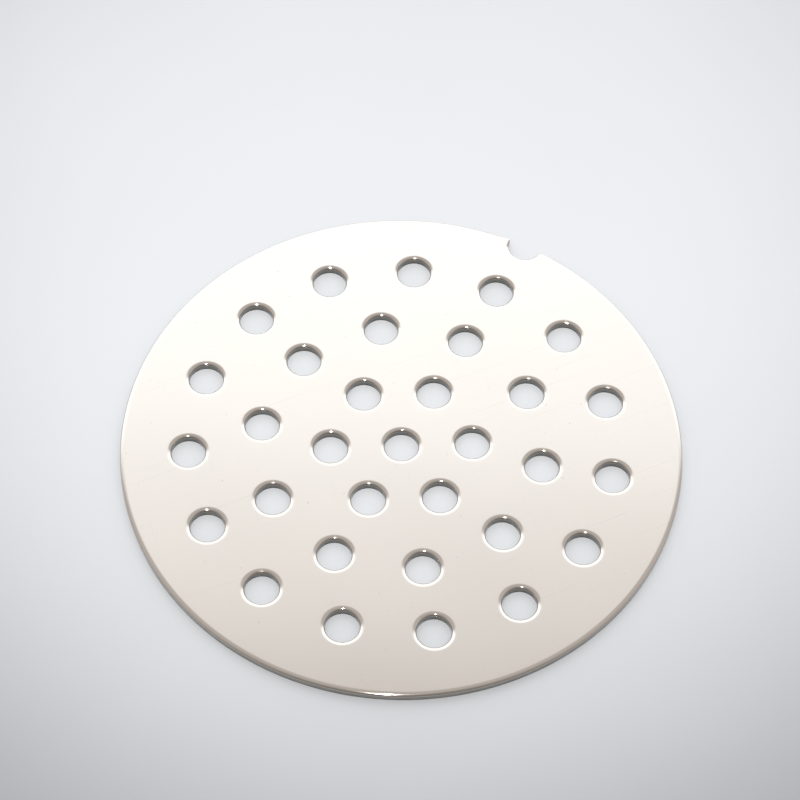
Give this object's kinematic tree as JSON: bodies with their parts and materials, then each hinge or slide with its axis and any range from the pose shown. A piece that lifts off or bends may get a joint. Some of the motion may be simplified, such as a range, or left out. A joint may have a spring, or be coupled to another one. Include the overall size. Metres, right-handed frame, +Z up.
{
  "type": "floor drain grate",
  "caption": "Flat round floor drain grate punched from stainless steel sheet, with drain holes in concentric rings and a lift notch in its rim.",
  "frame": {"origin": "on the disc's axis, in the plane of the flat underside that rests on the drain's ledge", "axes": "+Z up, out of the top face (the face with rounded edges); +Y from the centre through the lift notch; +X to the right with the notch away from the viewer"},
  "size_m": [0.099, 0.0989, 0.0015],
  "materials": {
    "stainless_steel": "polished"
  },
  "bodies": {
    "root": {"grate_plate": "stainless_steel"}
  },
  "joints": []
}
